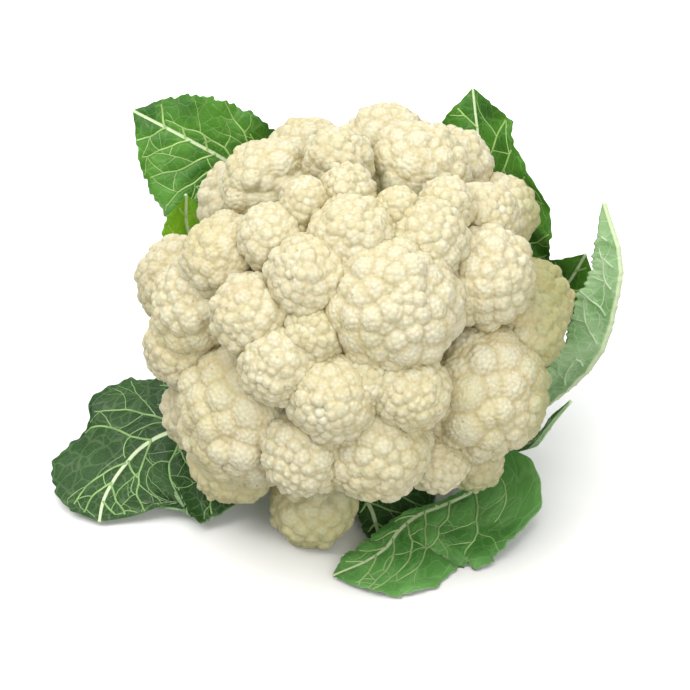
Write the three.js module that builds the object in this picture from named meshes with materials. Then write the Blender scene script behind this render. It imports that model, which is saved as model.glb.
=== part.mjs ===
// A whole cauliflower head as it comes from the market: a cut stalk, the white florets
// that branch from it, and the few wrapper leaves left round them.
// Millimetres, +Z up. The head leans forward and lies on its lowest floret, the edge
// of its cut stalk and the leaves under it. The origin is under the middle of it all.
import * as THREE from "three";

// Driving dimensions
const HEAD_RADIUS = 90;          // from the middle of the head to the tops of the florets
const HEAD_HEIGHT = 81;          // the middle of the head above the surface it lies on
const LEAN = 29;                 // degrees that the crown leans away from straight up
const LEAN_TURN = 30;            // degrees that the lean turns from the front to the right
const STALK_RADIUS = 20;         // the stalk inside the head
const STALK_CUT_RADIUS = 18.5;   // the stalk at its cut face
const STALK_BARK_SWELL = 1.5;    // how much the stalk swells where the leaves were trimmed
const PIECE_GAP = 0.3;           // clear air between touching pieces
const BRANCH_TAPER = 1.12;       // a floret's branch as long as this times its reach inwards
const FINE_RADIUS = 20;          // florets this big, and any that lies flat, are finer
const FLORET_SWELL = 1.16;       // how far a floret swells against its neighbours
const LEAF_EDGE = 1.0;           // thickness of a leaf at its edge
const LEAF_BLADE = 1.5;          // thickness of its blade beside the midrib
const RIB_BASE = 6;              // thickness of the midrib where it leaves the stalk
const RIB_TIP = 1.8;             // thickness of the midrib at the tip
const RIB_BASE_HALF_WIDTH = 6;   // half the width of the midrib where it leaves the stalk
const RIB_TIP_HALF_WIDTH = 1.5;  // half the width of the midrib at the tip
const LEAF_STEPS = 14;           // cross-sections along a leaf

// Materials' colours
const CURD_COLOUR = "#ece5c6";
const STALK_COLOUR = "#d9dcae";
const LEAF_GREEN = "#4f8f3a";
const LEAF_DARK = "#2f5f22";
const LEAF_PALE = "#a9c79b";

// The head's own directions: the crown's axis, its front side and its right side.
const radians = THREE.MathUtils.degToRad;
const centre = new THREE.Vector3(0, 0, HEAD_HEIGHT);
const axis = new THREE.Vector3(
  Math.sin(radians(LEAN)) * Math.sin(radians(LEAN_TURN)),
  -Math.sin(radians(LEAN)) * Math.cos(radians(LEAN_TURN)),
  Math.cos(radians(LEAN)));
const front = new THREE.Vector3(0, -1, 0).addScaledVector(axis, axis.y).normalize();
const side = new THREE.Vector3().crossVectors(axis, front);

// A direction from the middle of the head: degrees down from the crown, and degrees
// round from the front to the right.
function headDirection(down, turn) {
  return new THREE.Vector3()
    .addScaledVector(axis, Math.cos(radians(down)))
    .addScaledVector(front, Math.sin(radians(down)) * Math.cos(radians(turn)))
    .addScaledVector(side, Math.sin(radians(down)) * Math.sin(radians(turn)));
}

function makeMesh(name, geometry, colour, roughness) {
  const material = new THREE.MeshStandardMaterial({ color: colour, roughness, metalness: 0 });
  const mesh = new THREE.Mesh(geometry, material);
  mesh.name = name;
  return mesh;
}

// ---- Florets ----
// Each row of the head lists its florets as [degrees down from the crown, degrees round
// from the front, half its width]. A fourth number moves its top out from HEAD_RADIUS.
const FLORETS = {
  crown: [[4, -70, 7, -6], [10, 47, 13, -3], [19, -54, 14, -3], [19, -101, 9, -5],
    [14, 123, 9, -6], [39, 170, 17, -5]],
  upper: [[30, 2, 21, 2], [33, 76, 16, -2], [37, -47, 13, -2], [30, -88, 8, -4],
    [31, 118, 11, -5], [34, -137, 11, -6], [42, -75, 11, -4]],
  shoulder: [[54, 158, 14, -1], [59, 133, 13, -3], [56, -175, 17, -1], [64, -144, 16, -4],
    [57, -118, 16, -4], [63, -80, 15, -3], [58, -51, 14, -2]],
  middle: [[62, -32, 13, -2], [63, -11, 14, -1], [54, -1, 9, -9], [48, -28, 10, -8],
    [55, 15, 12, -2], [70, 52, 23, 0], [60, 78, 13, -4], [73, 102, 15, -3]],
  lower: [[82, -74, 17, -2], [97, -93, 16, 2], [97, -69, 15, -1], [86, -12, 14, 0],
    [79, 9, 17, 0], [99, -37, 24, 1], [86, 31, 11, -6]],
  back: [[86, -126, 16, -2], [87, -152, 20, 0], [87, 176, 20, 0], [82, 145, 18, 0],
    [92, 118, 17, -2]],
  rim: [[126, -1, 15, 5], [120, -34, 16, 4], [119, -54, 16, 0], [118, -82, 15, -2],
    [113, -113, 18, -2], [114, -148, 19, -2], [114, 172, 19, -2], [110, 134, 18, -3],
    [104, 86, 16, -9], [107, 55, 11, -4]],
};

// A list of every floret: its name, middle, radius and direction from the head's middle.
function placeFlorets() {
  const placed = [];
  for (const [row, florets] of Object.entries(FLORETS)) {
    florets.forEach(([down, turn, width, rise = 0], index) => {
      const direction = headDirection(down, turn);
      const radius = width * FLORET_SWELL;
      const reach = HEAD_RADIUS + rise - radius;
      const middle = centre.clone().addScaledVector(direction, reach);
      placed.push({ name: `floret_${row}_${index + 1}`, middle, radius, direction, down, turn });
    });
  }
  return placed;
}

// The flat sides that hold a floret off its neighbours, the stalk and the surface that
// the head lies on. Each is a direction and the distance to it from the floret's middle.
function floretWalls(floret, florets) {
  const walls = [];
  for (const other of florets) {
    if (other === floret) continue;
    const across = other.middle.clone().sub(floret.middle);
    const apart = across.length();
    const share = (apart ** 2 + floret.radius ** 2 - other.radius ** 2) / (2 * apart);
    walls.push({ normal: across.divideScalar(apart), distance: share - PIECE_GAP / 2 });
  }
  const outward = headDirection(Math.min(floret.down, 90), floret.turn);
  const fromStalk = floret.middle.clone().sub(centre).dot(outward) - STALK_RADIUS - PIECE_GAP;
  walls.push({ normal: outward.clone().negate(), distance: fromStalk });
  walls.push({ normal: new THREE.Vector3(0, 0, -1), distance: floret.middle.z });
  return walls;
}

// A floret is a ball that tapers inwards to its branch, cut off by its flat sides.
function floretGeometry(floret, florets) {
  const fine = floret.radius >= FINE_RADIUS || floret.middle.z < floret.radius;
  const geometry = new THREE.IcosahedronGeometry(1, fine ? 3 : 2);
  const walls = floretWalls(floret, florets);
  const branch = floret.middle.distanceTo(centre) * BRANCH_TAPER;
  const position = geometry.attributes.position;
  const ray = new THREE.Vector3();
  for (let i = 0; i < position.count; i++) {
    ray.fromBufferAttribute(position, i).normalize();
    const inward = Math.max(0, -ray.dot(floret.direction));
    const sideways = Math.sqrt(1 - inward ** 2);
    let reach = 1 / Math.hypot(inward / branch, sideways / floret.radius);
    if (inward === 0) reach = floret.radius;
    for (const wall of walls) {
      const towards = ray.dot(wall.normal);
      if (towards > 0) reach = Math.min(reach, wall.distance / towards);
    }
    ray.multiplyScalar(reach).add(floret.middle);
    position.setXYZ(i, ray.x, ray.y, ray.z);
  }
  return geometry;
}

// ---- Stalk ----
// Turned about the crown's axis: a round top inside the florets, a swollen collar where
// the leaves grow, and a flat cut face whose lowest edge touches the surface.
function makeStalk() {
  const cut = (HEAD_HEIGHT - STALK_CUT_RADIUS * Math.sin(radians(LEAN))) / Math.cos(radians(LEAN));
  const profile = [new THREE.Vector2(0, -cut), new THREE.Vector2(STALK_CUT_RADIUS, -cut)];
  const collar = STALK_RADIUS + STALK_BARK_SWELL;
  profile.push(new THREE.Vector2(collar - 0.5, -cut + 6), new THREE.Vector2(collar, -cut + 14));
  profile.push(new THREE.Vector2(STALK_RADIUS, -cut + 26));
  const roundSteps = 6;
  for (let i = 0; i <= roundSteps; i++) {
    const angle = (i / roundSteps) * Math.PI / 2;
    const across = i === roundSteps ? 0 : STALK_RADIUS * Math.cos(angle);
    profile.push(new THREE.Vector2(across, STALK_RADIUS * Math.sin(angle)));
  }
  const geometry = new THREE.LatheGeometry(profile, 24);
  const stalk = makeMesh("stalk", geometry, STALK_COLOUR, 0.6);
  stalk.quaternion.setFromUnitVectors(new THREE.Vector3(0, 1, 0), axis);
  stalk.position.copy(centre);
  return stalk;
}

// ---- Leaves ----
// Each leaf has a midrib through hand-placed points, the half-widths of its blade to the
// left and right of it from base to tip, the degrees by which each half rises towards the
// side that the leaf faces, and the way it faces at its base and at its tip.
const LEAVES = [
  { name: "leaf_front_right", colour: LEAF_GREEN,
    midrib: [[0, 10, 16], [17, 2, 10], [34, -3, 9], [46, -9, 10], [46, -19, 10], [33, -28, 9],
      [24, -34, 9], [16, -43, 8], [10, -53, 6], [1, -60, 4], [-11, -67, 3]],
    left: [5, 5, 7, 20, 29, 33, 31, 30, 28, 20, 2], right: [5, 5, 4, 3, 3, 3, 4, 6, 9, 9, 2],
    leftLift: [0, 20, 25, 2, -7, -5, 0], rightLift: [0, 0, 0, -10],
    facing: [[0.3, -0.3, 1], [0, 0, 1]] },
  { name: "leaf_front_under", colour: LEAF_DARK,
    midrib: [[-10, 5, 12], [-3, -8, 7], [4, -22, 5], [7, -36, 3.5], [9, -48, 2.5]],
    left: [5, 14, 22, 14, 3], right: [4, 4, 5, 6, 2],
    leftLift: [-4, -4], rightLift: [0, 0], facing: [[0, 0, 1], [0, 0, 1]] },
  { name: "leaf_left", colour: LEAF_GREEN,
    midrib: [[-40, 22, 27], [-60, 12, 26], [-81, 4, 24], [-92, 0, 19], [-101, -7, 11],
      [-106, -18, 6], [-107, -30, 3]],
    left: [9, 38, 45, 41, 32, 20, 2], right: [8, 19, 33, 35, 27, 19, 2],
    leftLift: [0, -8, -8, 0], rightLift: [0, 0, 8, 4],
    facing: [[-0.3, -0.5, 0.8], [-0.1, -0.1, 1]] },
  { name: "leaf_right", colour: LEAF_PALE,
    midrib: [[9, 27, 21], [36, 30, 4.3], [65, 27, 16], [86, 17, 39], [98, 10, 60], [103, 10, 80],
      [105, 14, 101], [98, 22, 123]],
    left: [6, 6, 10, 15, 16, 15, 10, 2], right: [6, 6, 9, 13, 16, 16, 13, 2],
    leftLift: [0, 45, 50, 50], rightLift: [0, 40, 65, 65],
    facing: [[0, -0.3, 0.95], [-0.8, 0.6, 0.1]] },
  { name: "leaf_right_lower", colour: LEAF_PALE,
    midrib: [[12, 19, 25], [34, 14, 18], [56, 8, 15], [72, 3, 20], [79, 1, 31], [87, 0, 43]],
    left: [4, 4, 4, 6, 6, 2], right: [4, 4, 4, 6, 6, 2],
    leftLift: [0, 10], rightLift: [0, 10], facing: [[0, 0, 1], [-0.8, 0.3, 0.5]] },
  { name: "leaf_right_small", colour: LEAF_DARK,
    midrib: [[8, 33, 35], [33, 52, 27], [61, 60, 38], [80, 57, 56], [89, 48, 72], [94, 42, 85]],
    left: [5, 5, 6, 12, 12, 3], right: [5, 5, 6, 12, 12, 3],
    leftLift: [0, 20], rightLift: [0, 10], facing: [[0, 0, 1], [-0.3, -0.9, 0.3]] },
  { name: "leaf_back_right", colour: LEAF_GREEN,
    midrib: [[0, 45, 34], [14, 66, 38], [31, 84, 49], [47, 91, 74], [54, 89, 98], [52, 87, 118],
      [49, 97, 141]],
    left: [7, 7, 14, 22, 22, 17, 3], right: [7, 7, 20, 36, 40, 25, 3],
    leftLift: [0, 10, 10, 10], rightLift: [0, 15, 22, 15],
    facing: [[-0.2, -0.6, 0.8], [-0.5, -0.85, 0.1]] },
  { name: "leaf_back_left", colour: LEAF_GREEN,
    midrib: [[-24, 45, 41], [-34, 66, 51], [-43, 84, 70], [-47, 88, 96], [-54, 80, 112],
      [-73, 81, 124], [-97, 89, 134]],
    left: [7, 7, 14, 24, 31, 34, 4], right: [7, 7, 13, 22, 24, 21, 4],
    leftLift: [0, 5, 8, 0], rightLift: [0, 5, 8, 0],
    facing: [[0.3, -0.8, 0.5], [0, -0.9, 0.42]] },
  { name: "leaf_young", colour: LEAF_GREEN,
    midrib: [[-32, 37, 43], [-50, 53, 51], [-65, 60, 70], [-73, 58, 92], [-73, 56, 110]],
    left: [4, 4, 8, 10, 2], right: [4, 4, 8, 10, 2],
    leftLift: [0, 15], rightLift: [0, 15], facing: [[0.5, -0.5, 0.6], [0.3, -0.9, 0.3]] },
];

// The value at a place between 0 and 1 along a list of evenly spaced numbers.
function along(numbers, place) {
  const step = place * (numbers.length - 1);
  const index = Math.min(Math.floor(step), numbers.length - 2);
  return THREE.MathUtils.lerp(numbers[index], numbers[index + 1], step - index);
}

// One closed ring of points round a leaf's cross-section: along its inner face from left
// to right, and back along its outer face, which carries the bulge of the midrib.
function leafRing(leaf, curve, place) {
  const middle = curve.getPoint(place);
  const tangent = curve.getTangent(place);
  const facing = new THREE.Vector3(...leaf.facing[0]).lerp(new THREE.Vector3(...leaf.facing[1]), place);
  const face = facing.addScaledVector(tangent, -facing.dot(tangent)).normalize();
  const across = new THREE.Vector3().crossVectors(tangent, face);
  const halves = { left: -1, right: 1 };
  const inner = [];
  const outer = [];
  const addPoint = (half, distance, thickness) => {
    const lift = radians(along(leaf[`${half}Lift`], place));
    const point = middle.clone()
      .addScaledVector(across, halves[half] * distance * Math.cos(lift))
      .addScaledVector(face, distance * Math.sin(lift));
    inner.push(point.clone().addScaledVector(face, LEAF_EDGE / 2));
    outer.unshift(point.clone().addScaledVector(face, LEAF_EDGE / 2 - thickness));
  };
  const ribWidth = THREE.MathUtils.lerp(RIB_BASE_HALF_WIDTH, RIB_TIP_HALF_WIDTH, Math.sqrt(place));
  const rib = THREE.MathUtils.lerp(RIB_BASE, RIB_TIP, Math.sqrt(place));
  const leftWidth = along(leaf.left, place);
  const rightWidth = along(leaf.right, place);
  addPoint("left", leftWidth, LEAF_EDGE);
  addPoint("left", (leftWidth + ribWidth) / 2, LEAF_BLADE);
  addPoint("left", Math.min(ribWidth, leftWidth * 0.6), Math.max(LEAF_BLADE, rib * 0.7));
  addPoint("right", 0, rib);
  addPoint("right", Math.min(ribWidth, rightWidth * 0.6), Math.max(LEAF_BLADE, rib * 0.7));
  addPoint("right", (rightWidth + ribWidth) / 2, LEAF_BLADE);
  addPoint("right", rightWidth, LEAF_EDGE);
  return [...inner, ...outer];
}

function leafGeometry(leaf) {
  const curve = new THREE.CatmullRomCurve3(leaf.midrib.map((point) => new THREE.Vector3(...point)));
  const rings = [];
  for (let i = 0; i <= LEAF_STEPS; i++) rings.push(leafRing(leaf, curve, i / LEAF_STEPS));
  const around = rings[0].length;
  const triangles = [];
  for (let i = 0; i < LEAF_STEPS; i++) {
    for (let j = 0; j < around; j++) {
      const next = (j + 1) % around;
      const [a, b] = [i * around + j, i * around + next];
      const [c, d] = [a + around, b + around];
      triangles.push(a, b, d, a, d, c);
    }
  }
  const last = LEAF_STEPS * around;
  const across = around / 2;
  for (let j = 0; j < across - 1; j++) {
    const [low, high] = [j, around - 1 - j];
    triangles.push(low, high, high - 1, low, high - 1, low + 1);
    triangles.push(last + low, last + high - 1, last + high, last + low, last + low + 1, last + high - 1);
  }
  const geometry = new THREE.BufferGeometry();
  const points = rings.flat().flatMap((point) => point.toArray());
  geometry.setAttribute("position", new THREE.Float32BufferAttribute(points, 3));
  geometry.setIndex(triangles);
  geometry.computeVertexNormals();
  return geometry;
}

// ---- The whole head ----
const head = new THREE.Group();
head.add(makeStalk());
const florets = placeFlorets();
for (const floret of florets) {
  head.add(makeMesh(floret.name, floretGeometry(floret, florets), CURD_COLOUR, 0.75));
}
for (const leaf of LEAVES) head.add(makeMesh(leaf.name, leafGeometry(leaf), leaf.colour, 0.5));

// The origin goes under the middle of the box round everything.
const box = new THREE.Box3().setFromObject(head, true);
head.position.set(-(box.min.x + box.max.x) / 2, -(box.min.y + box.max.y) / 2, -box.min.z);
head.updateMatrixWorld(true);

export default head;
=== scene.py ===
# %% [markdown]
# # A cauliflower head, piece by piece
# A cauliflower is not one white ball. It is a bunch of florets on a short stalk, with a few
# wrapper leaves left round it. Each floret is a small copy of the whole head: lumps in a
# spiral, smaller lumps on those, and granules on those. This lesson builds it that way.
#
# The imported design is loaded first. It fixes where every floret and leaf sits, and nothing
# here moves or resizes it. The box round it is kept, to compare sizes at the end.

import math

import bpy
import numpy as np
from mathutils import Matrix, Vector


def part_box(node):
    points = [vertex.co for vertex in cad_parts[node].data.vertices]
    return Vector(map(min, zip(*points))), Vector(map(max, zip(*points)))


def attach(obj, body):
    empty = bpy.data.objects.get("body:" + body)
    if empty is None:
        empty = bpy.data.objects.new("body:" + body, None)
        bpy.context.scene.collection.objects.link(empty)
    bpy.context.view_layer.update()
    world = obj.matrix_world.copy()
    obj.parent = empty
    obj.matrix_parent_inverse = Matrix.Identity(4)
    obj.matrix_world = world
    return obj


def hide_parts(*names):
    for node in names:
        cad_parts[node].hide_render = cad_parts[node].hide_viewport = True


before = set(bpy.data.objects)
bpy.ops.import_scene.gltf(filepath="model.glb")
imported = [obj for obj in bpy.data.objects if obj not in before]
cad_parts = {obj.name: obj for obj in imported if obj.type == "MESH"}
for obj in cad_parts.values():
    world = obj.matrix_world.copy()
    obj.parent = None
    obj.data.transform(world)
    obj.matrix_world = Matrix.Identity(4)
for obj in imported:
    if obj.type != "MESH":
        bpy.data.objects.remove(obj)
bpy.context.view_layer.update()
MM = 0.001

# %% [markdown]
# ## Where the head sits
# The head leans forward and a little to the right. Its middle is the middle of the stalk's
# round top, so it can be read from the box of the stalk. A direction on the head is given as
# a gardener would: degrees down from the crown, and degrees round from the front.

# %% The head's middle and its own directions
HEAD_RADIUS = 90.0  # from its middle to the tops of the florets, mm
STALK_RADIUS = 20.0
LEAN, LEAN_TURN = math.radians(29), math.radians(30)

stalk_low, stalk_high = (np.array(corner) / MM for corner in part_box("stalk"))
head_middle = np.array([stalk_high[0] - STALK_RADIUS, stalk_low[1] + STALK_RADIUS,
                        stalk_high[2] - STALK_RADIUS])
crown = np.array([math.sin(LEAN) * math.sin(LEAN_TURN),
                  -math.sin(LEAN) * math.cos(LEAN_TURN), math.cos(LEAN)])
front = np.array([0.0, -1.0, 0.0]) + crown * crown[1]
front /= np.linalg.norm(front)
side = np.cross(crown, front)
print("middle of the head, mm", head_middle.round(2))


def head_direction(down, turn):
    """The direction on the head so many degrees down from the crown and round from the front."""
    down, turn = math.radians(down), math.radians(turn)
    across = front * math.cos(turn) + side * math.sin(turn)
    return crown * math.cos(down) + across * math.sin(down)


# %% [markdown]
# ## Helpers for materials
# Every finish is a small tree of procedural nodes. These helpers keep the trees short: each
# adds a node, fills in its numbers and joins it to the nodes before it.

# %% Node helpers
def new_material(name, **numbers):
    """A material, its node tree, and its shader with these numbers filled in."""
    material = bpy.data.materials.new(name)
    material.use_nodes = True
    shader = material.node_tree.nodes["Principled BSDF"]
    for socket_name, value in numbers.items():
        shader.inputs[socket_name.replace("_", " ")].default_value = value
    return material, material.node_tree, shader


def add_node(tree, kind, settings=None, **inputs):
    """Adds a node, sets its own options, and fills or links its inputs by name or as i0, i1."""
    node = tree.nodes.new(kind)
    for option, value in (settings or {}).items():
        setattr(node, option, value)
    for socket_name, value in inputs.items():
        by_number = socket_name[1:].isdigit()
        socket = node.inputs[int(socket_name[1:]) if by_number else socket_name.replace("_", " ")]
        if isinstance(value, bpy.types.NodeSocket):
            tree.links.new(value, socket)
        else:
            socket.default_value = value
    return node


def maths(tree, operation, *values):
    """One Math node, with numbers or sockets as its values."""
    inputs = {f"i{index}": value for index, value in enumerate(values)}
    return add_node(tree, "ShaderNodeMath", {"operation": operation}, **inputs).outputs[0]


def smooth_step(tree, value, start, end):
    """0 below start, 1 above end, and smooth between them."""
    return add_node(tree, "ShaderNodeMapRange", {"interpolation_type": "SMOOTHSTEP"},
                    Value=value, From_Min=start, From_Max=end).outputs["Result"]


def fade(tree, value, start, end):
    """1 below start, 0 above end, and smooth between them."""
    return maths(tree, "SUBTRACT", 1.0, smooth_step(tree, value, start, end))


def noise(tree, place, scale, detail):
    return add_node(tree, "ShaderNodeTexNoise", Vector=place, Scale=scale, Detail=detail).outputs["Fac"]


def mix_colour(tree, factor, first, second):
    return add_node(tree, "ShaderNodeMix", {"data_type": "RGBA"}, i0=factor, i6=first, i7=second).outputs[2]


def tint(tree, colour, mask, amount, other):
    """Mixes another colour in where a mask is one, up to an amount."""
    return mix_colour(tree, maths(tree, "MULTIPLY", mask, amount), colour, other)


def read_layer(tree, name):
    """The first three numbers of a layer that a piece keeps on its points."""
    layer = add_node(tree, "ShaderNodeAttribute", {"attribute_name": name})
    parts = add_node(tree, "ShaderNodeSeparateColor", Color=layer.outputs["Color"])
    return [parts.outputs[index] for index in range(3)]


def object_place(tree):
    return add_node(tree, "ShaderNodeTexCoord").outputs["Object"]


def bump(tree, height, strength, distance):
    return add_node(tree, "ShaderNodeBump", Height=height, Strength=strength,
                    Distance=distance).outputs["Normal"]


def join(tree, node, **sockets):
    """Joins finished sockets to a node's inputs."""
    for socket_name, value in sockets.items():
        tree.links.new(value, node.inputs[socket_name.replace("_", " ")])


# %% [markdown]
# ## The camera, the light and the table
# The head is seen from a little above through a long lens, on a white table in soft light.
# One broad lamp from the upper left models the lumps, and the white surroundings fill the
# shadows, so the creases stay warm instead of black.

# %% Camera
VIEW_ELEVATION = math.radians(30)
CAMERA_DISTANCE = 820.0
FRAME_WIDTH = 278.8  # millimetres across the picture at the middle of the head
AIM_RIGHT, AIM_UP = -6.1, -10.1  # of the picture's middle from the head's, mm

right = np.array([1.0, 0.0, 0.0])
back = np.array([0.0, -math.cos(VIEW_ELEVATION), math.sin(VIEW_ELEVATION)])
up = np.array([0.0, math.sin(VIEW_ELEVATION), math.cos(VIEW_ELEVATION)])
eye = head_middle + back * CAMERA_DISTANCE + right * AIM_RIGHT + up * AIM_UP
bpy.ops.object.camera_add(location=tuple(eye * MM), rotation=(math.pi / 2 - VIEW_ELEVATION, 0, 0))
camera = bpy.context.object
camera.name = "camera"
camera.data.lens = camera.data.sensor_width * CAMERA_DISTANCE / FRAME_WIDTH
camera.data.clip_start, camera.data.clip_end = 0.05, 10.0
bpy.context.scene.camera = camera
print("lens", round(camera.data.lens, 1), "mm")

# %% Table
GLOW_START, GLOW_END = 0.20, 0.60  # where the paper starts to glow, out from the head, m
WHITE = (1.0, 1.0, 1.0, 1.0)

bpy.ops.mesh.primitive_plane_add(size=6.0, location=(0, 0, 0))
table = bpy.context.object
table.name = "table"
paper, tree, seen = new_material("white_paper", Base_Color=WHITE, Roughness=0.9, Emission_Color=WHITE)
away = add_node(tree, "ShaderNodeVectorMath", {"operation": "LENGTH"}, i0=object_place(tree))
join(tree, seen, Emission_Strength=smooth_step(tree, away.outputs["Value"], GLOW_START, GLOW_END))
bounced = add_node(tree, "ShaderNodeBsdfDiffuse", Color=(0.42, 0.42, 0.41, 1.0))
ray = add_node(tree, "ShaderNodeLightPath")
chosen = add_node(tree, "ShaderNodeMixShader", i0=ray.outputs["Is Camera Ray"],
                  i1=bounced.outputs[0], i2=seen.outputs[0])
join(tree, tree.nodes["Material Output"], Surface=chosen.outputs[0])
table.data.materials.append(paper)

# %% Lights and room
LIGHTS = (  # name, place in metres, size, watts, colour
    ("top_light", (-0.22, -0.25, 1.25), 1.3, 14.8, (1.0, 0.99, 0.98)),
    ("key_light", (-0.60, -0.45, 0.85), 0.35, 2.2, (1.0, 0.98, 0.95)),
    ("front_light", (0.45, -0.95, 0.40), 0.6, 4.6, (1.0, 1.0, 0.98)),
    ("back_light", (0.25, 0.85, 0.75), 0.6, 3.0, (1.0, 1.0, 1.0)))
ROOM_LIGHT, ROOM_SEEN = 0.55, 1.05  # the room's strength as a light, and as the camera sees it

for name, place, size, watts, colour in LIGHTS:
    bpy.ops.object.light_add(type="AREA", location=place)
    lamp = bpy.context.object
    lamp.name = name
    lamp.data.size = size
    lamp.data.energy = watts
    lamp.data.color = colour
    rightward, backward, upward = head_middle * MM - np.array(place)
    lamp.rotation_euler = (math.atan2(math.hypot(rightward, backward), -upward), 0,
                           math.atan2(backward, rightward) - math.pi / 2)

world = bpy.data.worlds.new("studio")
bpy.context.scene.world = world
world.use_nodes = True
tree = world.node_tree
room = tree.nodes["Background"]
room.inputs["Color"].default_value = WHITE
ray = add_node(tree, "ShaderNodeLightPath")
strength = add_node(tree, "ShaderNodeMapRange", Value=ray.outputs["Is Camera Ray"],
                    To_Min=ROOM_LIGHT, To_Max=ROOM_SEEN)
join(tree, room, Strength=strength.outputs["Result"])
bpy.context.scene.view_settings.view_transform = "Standard"


# %% [markdown]
# ## What a floret is
# A floret is a branch with a rounded top. Its lumps stand in a golden-angle spiral, as seeds
# do in a sunflower: tiny at the tip, larger towards the edge, because the outer ones are
# older. Every lump carries the same spiral again, and so do the lumps on it.
#
# Sculpting thousands of lumps by hand would be slow, and a texture alone would leave the
# outline smooth. So one finely divided ball is modelled once, copied for each floret, and its
# vertices are moved out to the outermost lump along their own direction.

# %% The florets' places
FLORET_SWELL = {"back": 1.18, "rim": 1.22, "shoulder": 1.24}  # radius, of half the width below
FRONT_SWELL = 1.30
FLORETS = {  # row: degrees down, degrees round, half width and rise in mm
    "crown": [(4, -70, 7, -6), (10, 47, 13, -3), (19, -54, 14, -3), (19, -101, 9, -5),
              (14, 123, 9, -6), (39, 170, 17, -5)],
    "upper": [(30, 2, 21, 2), (33, 76, 16, -2), (37, -47, 13, -2), (30, -88, 8, -4),
              (31, 118, 11, -5), (34, -137, 11, -6), (42, -75, 11, -4)],
    "shoulder": [(54, 158, 14, -1), (59, 133, 13, -3), (56, -175, 17, -1), (64, -144, 16, -4),
                 (57, -118, 16, -4), (63, -80, 15, -3), (58, -51, 14, -2)],
    "middle": [(62, -32, 13, -2), (63, -11, 14, -1), (54, -1, 9, -9), (48, -28, 10, -8),
               (55, 15, 12, -2), (70, 52, 23, 0), (60, 78, 13, -4), (73, 102, 15, -3)],
    "lower": [(82, -74, 17, -2), (97, -93, 16, 2), (97, -69, 15, -1), (86, -12, 14, 0),
              (79, 9, 17, 0), (99, -37, 24, 1), (86, 31, 11, -6)],
    "back": [(86, -126, 16, -2), (87, -152, 20, 0), (87, 176, 20, 0), (82, 145, 18, 0),
             (92, 118, 17, -2)],
    "rim": [(126, -1, 15, 5), (120, -34, 16, 4), (119, -54, 16, 0), (118, -82, 15, -2),
            (113, -113, 18, -2), (114, -148, 19, -2), (114, 172, 19, -2), (110, 134, 18, -3),
            (104, 86, 16, -9), (107, 55, 11, -4)],
}


class Floret:
    """Where one floret sits, in millimetres."""

    def __init__(self, node, row, down, turn, width, rise):
        self.node, self.row, self.down, self.turn = node, row, down, turn
        self.radius = width * FLORET_SWELL.get(row, FRONT_SWELL)
        self.outward = head_direction(down, turn)
        self.reach = HEAD_RADIUS + rise - self.radius
        self.middle = head_middle + self.outward * self.reach


florets = [Floret(f"floret_{row}_{index + 1}", row, *numbers)
           for row, places in FLORETS.items() for index, numbers in enumerate(places)]
for floret in florets[:3]:
    low, high = (np.array(corner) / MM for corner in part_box(floret.node))
    print(floret.node, "middle", floret.middle.round(1), "box", low.round(1), high.round(1))

# %% [markdown]
# ## The spiral of lumps
# The golden angle sets each lump beside the gap between two older ones, so they pack evenly
# at every size. The number of lumps inside a ring follows from how wide they are there.

# %% Spiral of lumps
GOLDEN_ANGLE = math.pi * (3 - math.sqrt(5))
LUMP_AREA = 0.866  # area of one lump in a close packing, for a width of one


def lump_spiral(tip_width, edge_width, edge_angle, growth, random, wander):
    """Unit directions and widths of lumps on a ball of radius one, round its +Z tip."""
    angle = np.linspace(0, edge_angle, 600)
    width = tip_width + (edge_width - tip_width) * np.minimum(1, angle / (0.5 * math.pi)) ** growth
    per_step = 2 * math.pi * np.sin(angle) * np.gradient(angle) / (LUMP_AREA * width ** 2)
    count = np.cumsum(per_step)
    number = np.arange(int(count[-1])) + 0.5
    tilt = np.interp(number, count, angle)
    lump_width = np.interp(tilt, angle, width)
    tilt = tilt + random.normal(0, wander, len(tilt)) * lump_width
    turn = number * GOLDEN_ANGLE + random.normal(0, wander, len(tilt)) * lump_width / np.sin(tilt + 0.1)
    lump_width = lump_width * (1 + random.normal(0, 1.6 * wander, len(tilt)))
    directions = np.stack([np.sin(tilt) * np.cos(turn), np.sin(tilt) * np.sin(turn), np.cos(tilt)], 1)
    return directions, lump_width


def outermost_lump(rays, directions, widths, heights, plumpness):
    """How far along each ray the outermost lump of a unit ball reaches, which lump it is, and
    how close the ray is to the crease beside it, from 0 to 1."""
    ball = widths * plumpness
    out = 1 + heights - ball
    cosine = rays @ directions.T
    inside = ball ** 2 - out ** 2 * (1 - cosine ** 2)
    reach = np.where((inside > 0) & (cosine > 0), out * cosine + np.sqrt(np.maximum(inside, 0)), 0)
    rows = np.arange(len(rays))
    winner = reach.argmax(1)
    best = reach[rows, winner]
    reach[rows, winner] = 0
    second = reach.max(1)
    crease = np.exp(-(best - second) / (0.10 * widths[winner]))
    return best, winner, crease


def turned_frame(directions, random):
    """For each direction, three axes: two across it at a random twist, and itself."""
    helper = np.where(np.abs(directions[:, :1]) < 0.8, [[1.0, 0, 0]], [[0, 1.0, 0]])
    first = np.cross(directions, helper)
    first /= np.linalg.norm(first, axis=1, keepdims=True)
    second = np.cross(directions, first)
    twist = random.uniform(0, 2 * math.pi, (len(directions), 1))
    axis_one = first * np.cos(twist) + second * np.sin(twist)
    axis_two = np.cross(directions, axis_one)
    return np.stack([axis_one, axis_two, directions], 1)


# %% [markdown]
# ## One finely divided ball
# A cube cut into small squares and rounded to a ball has no poles, so lumps look alike all
# over it. Four fifths of its points are drawn to the outer side, which is the side that shows.

# %% Ball templates
CAP_SHARE, CAP_ANGLE = 0.8, math.radians(92)
ball_templates = {}


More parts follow.
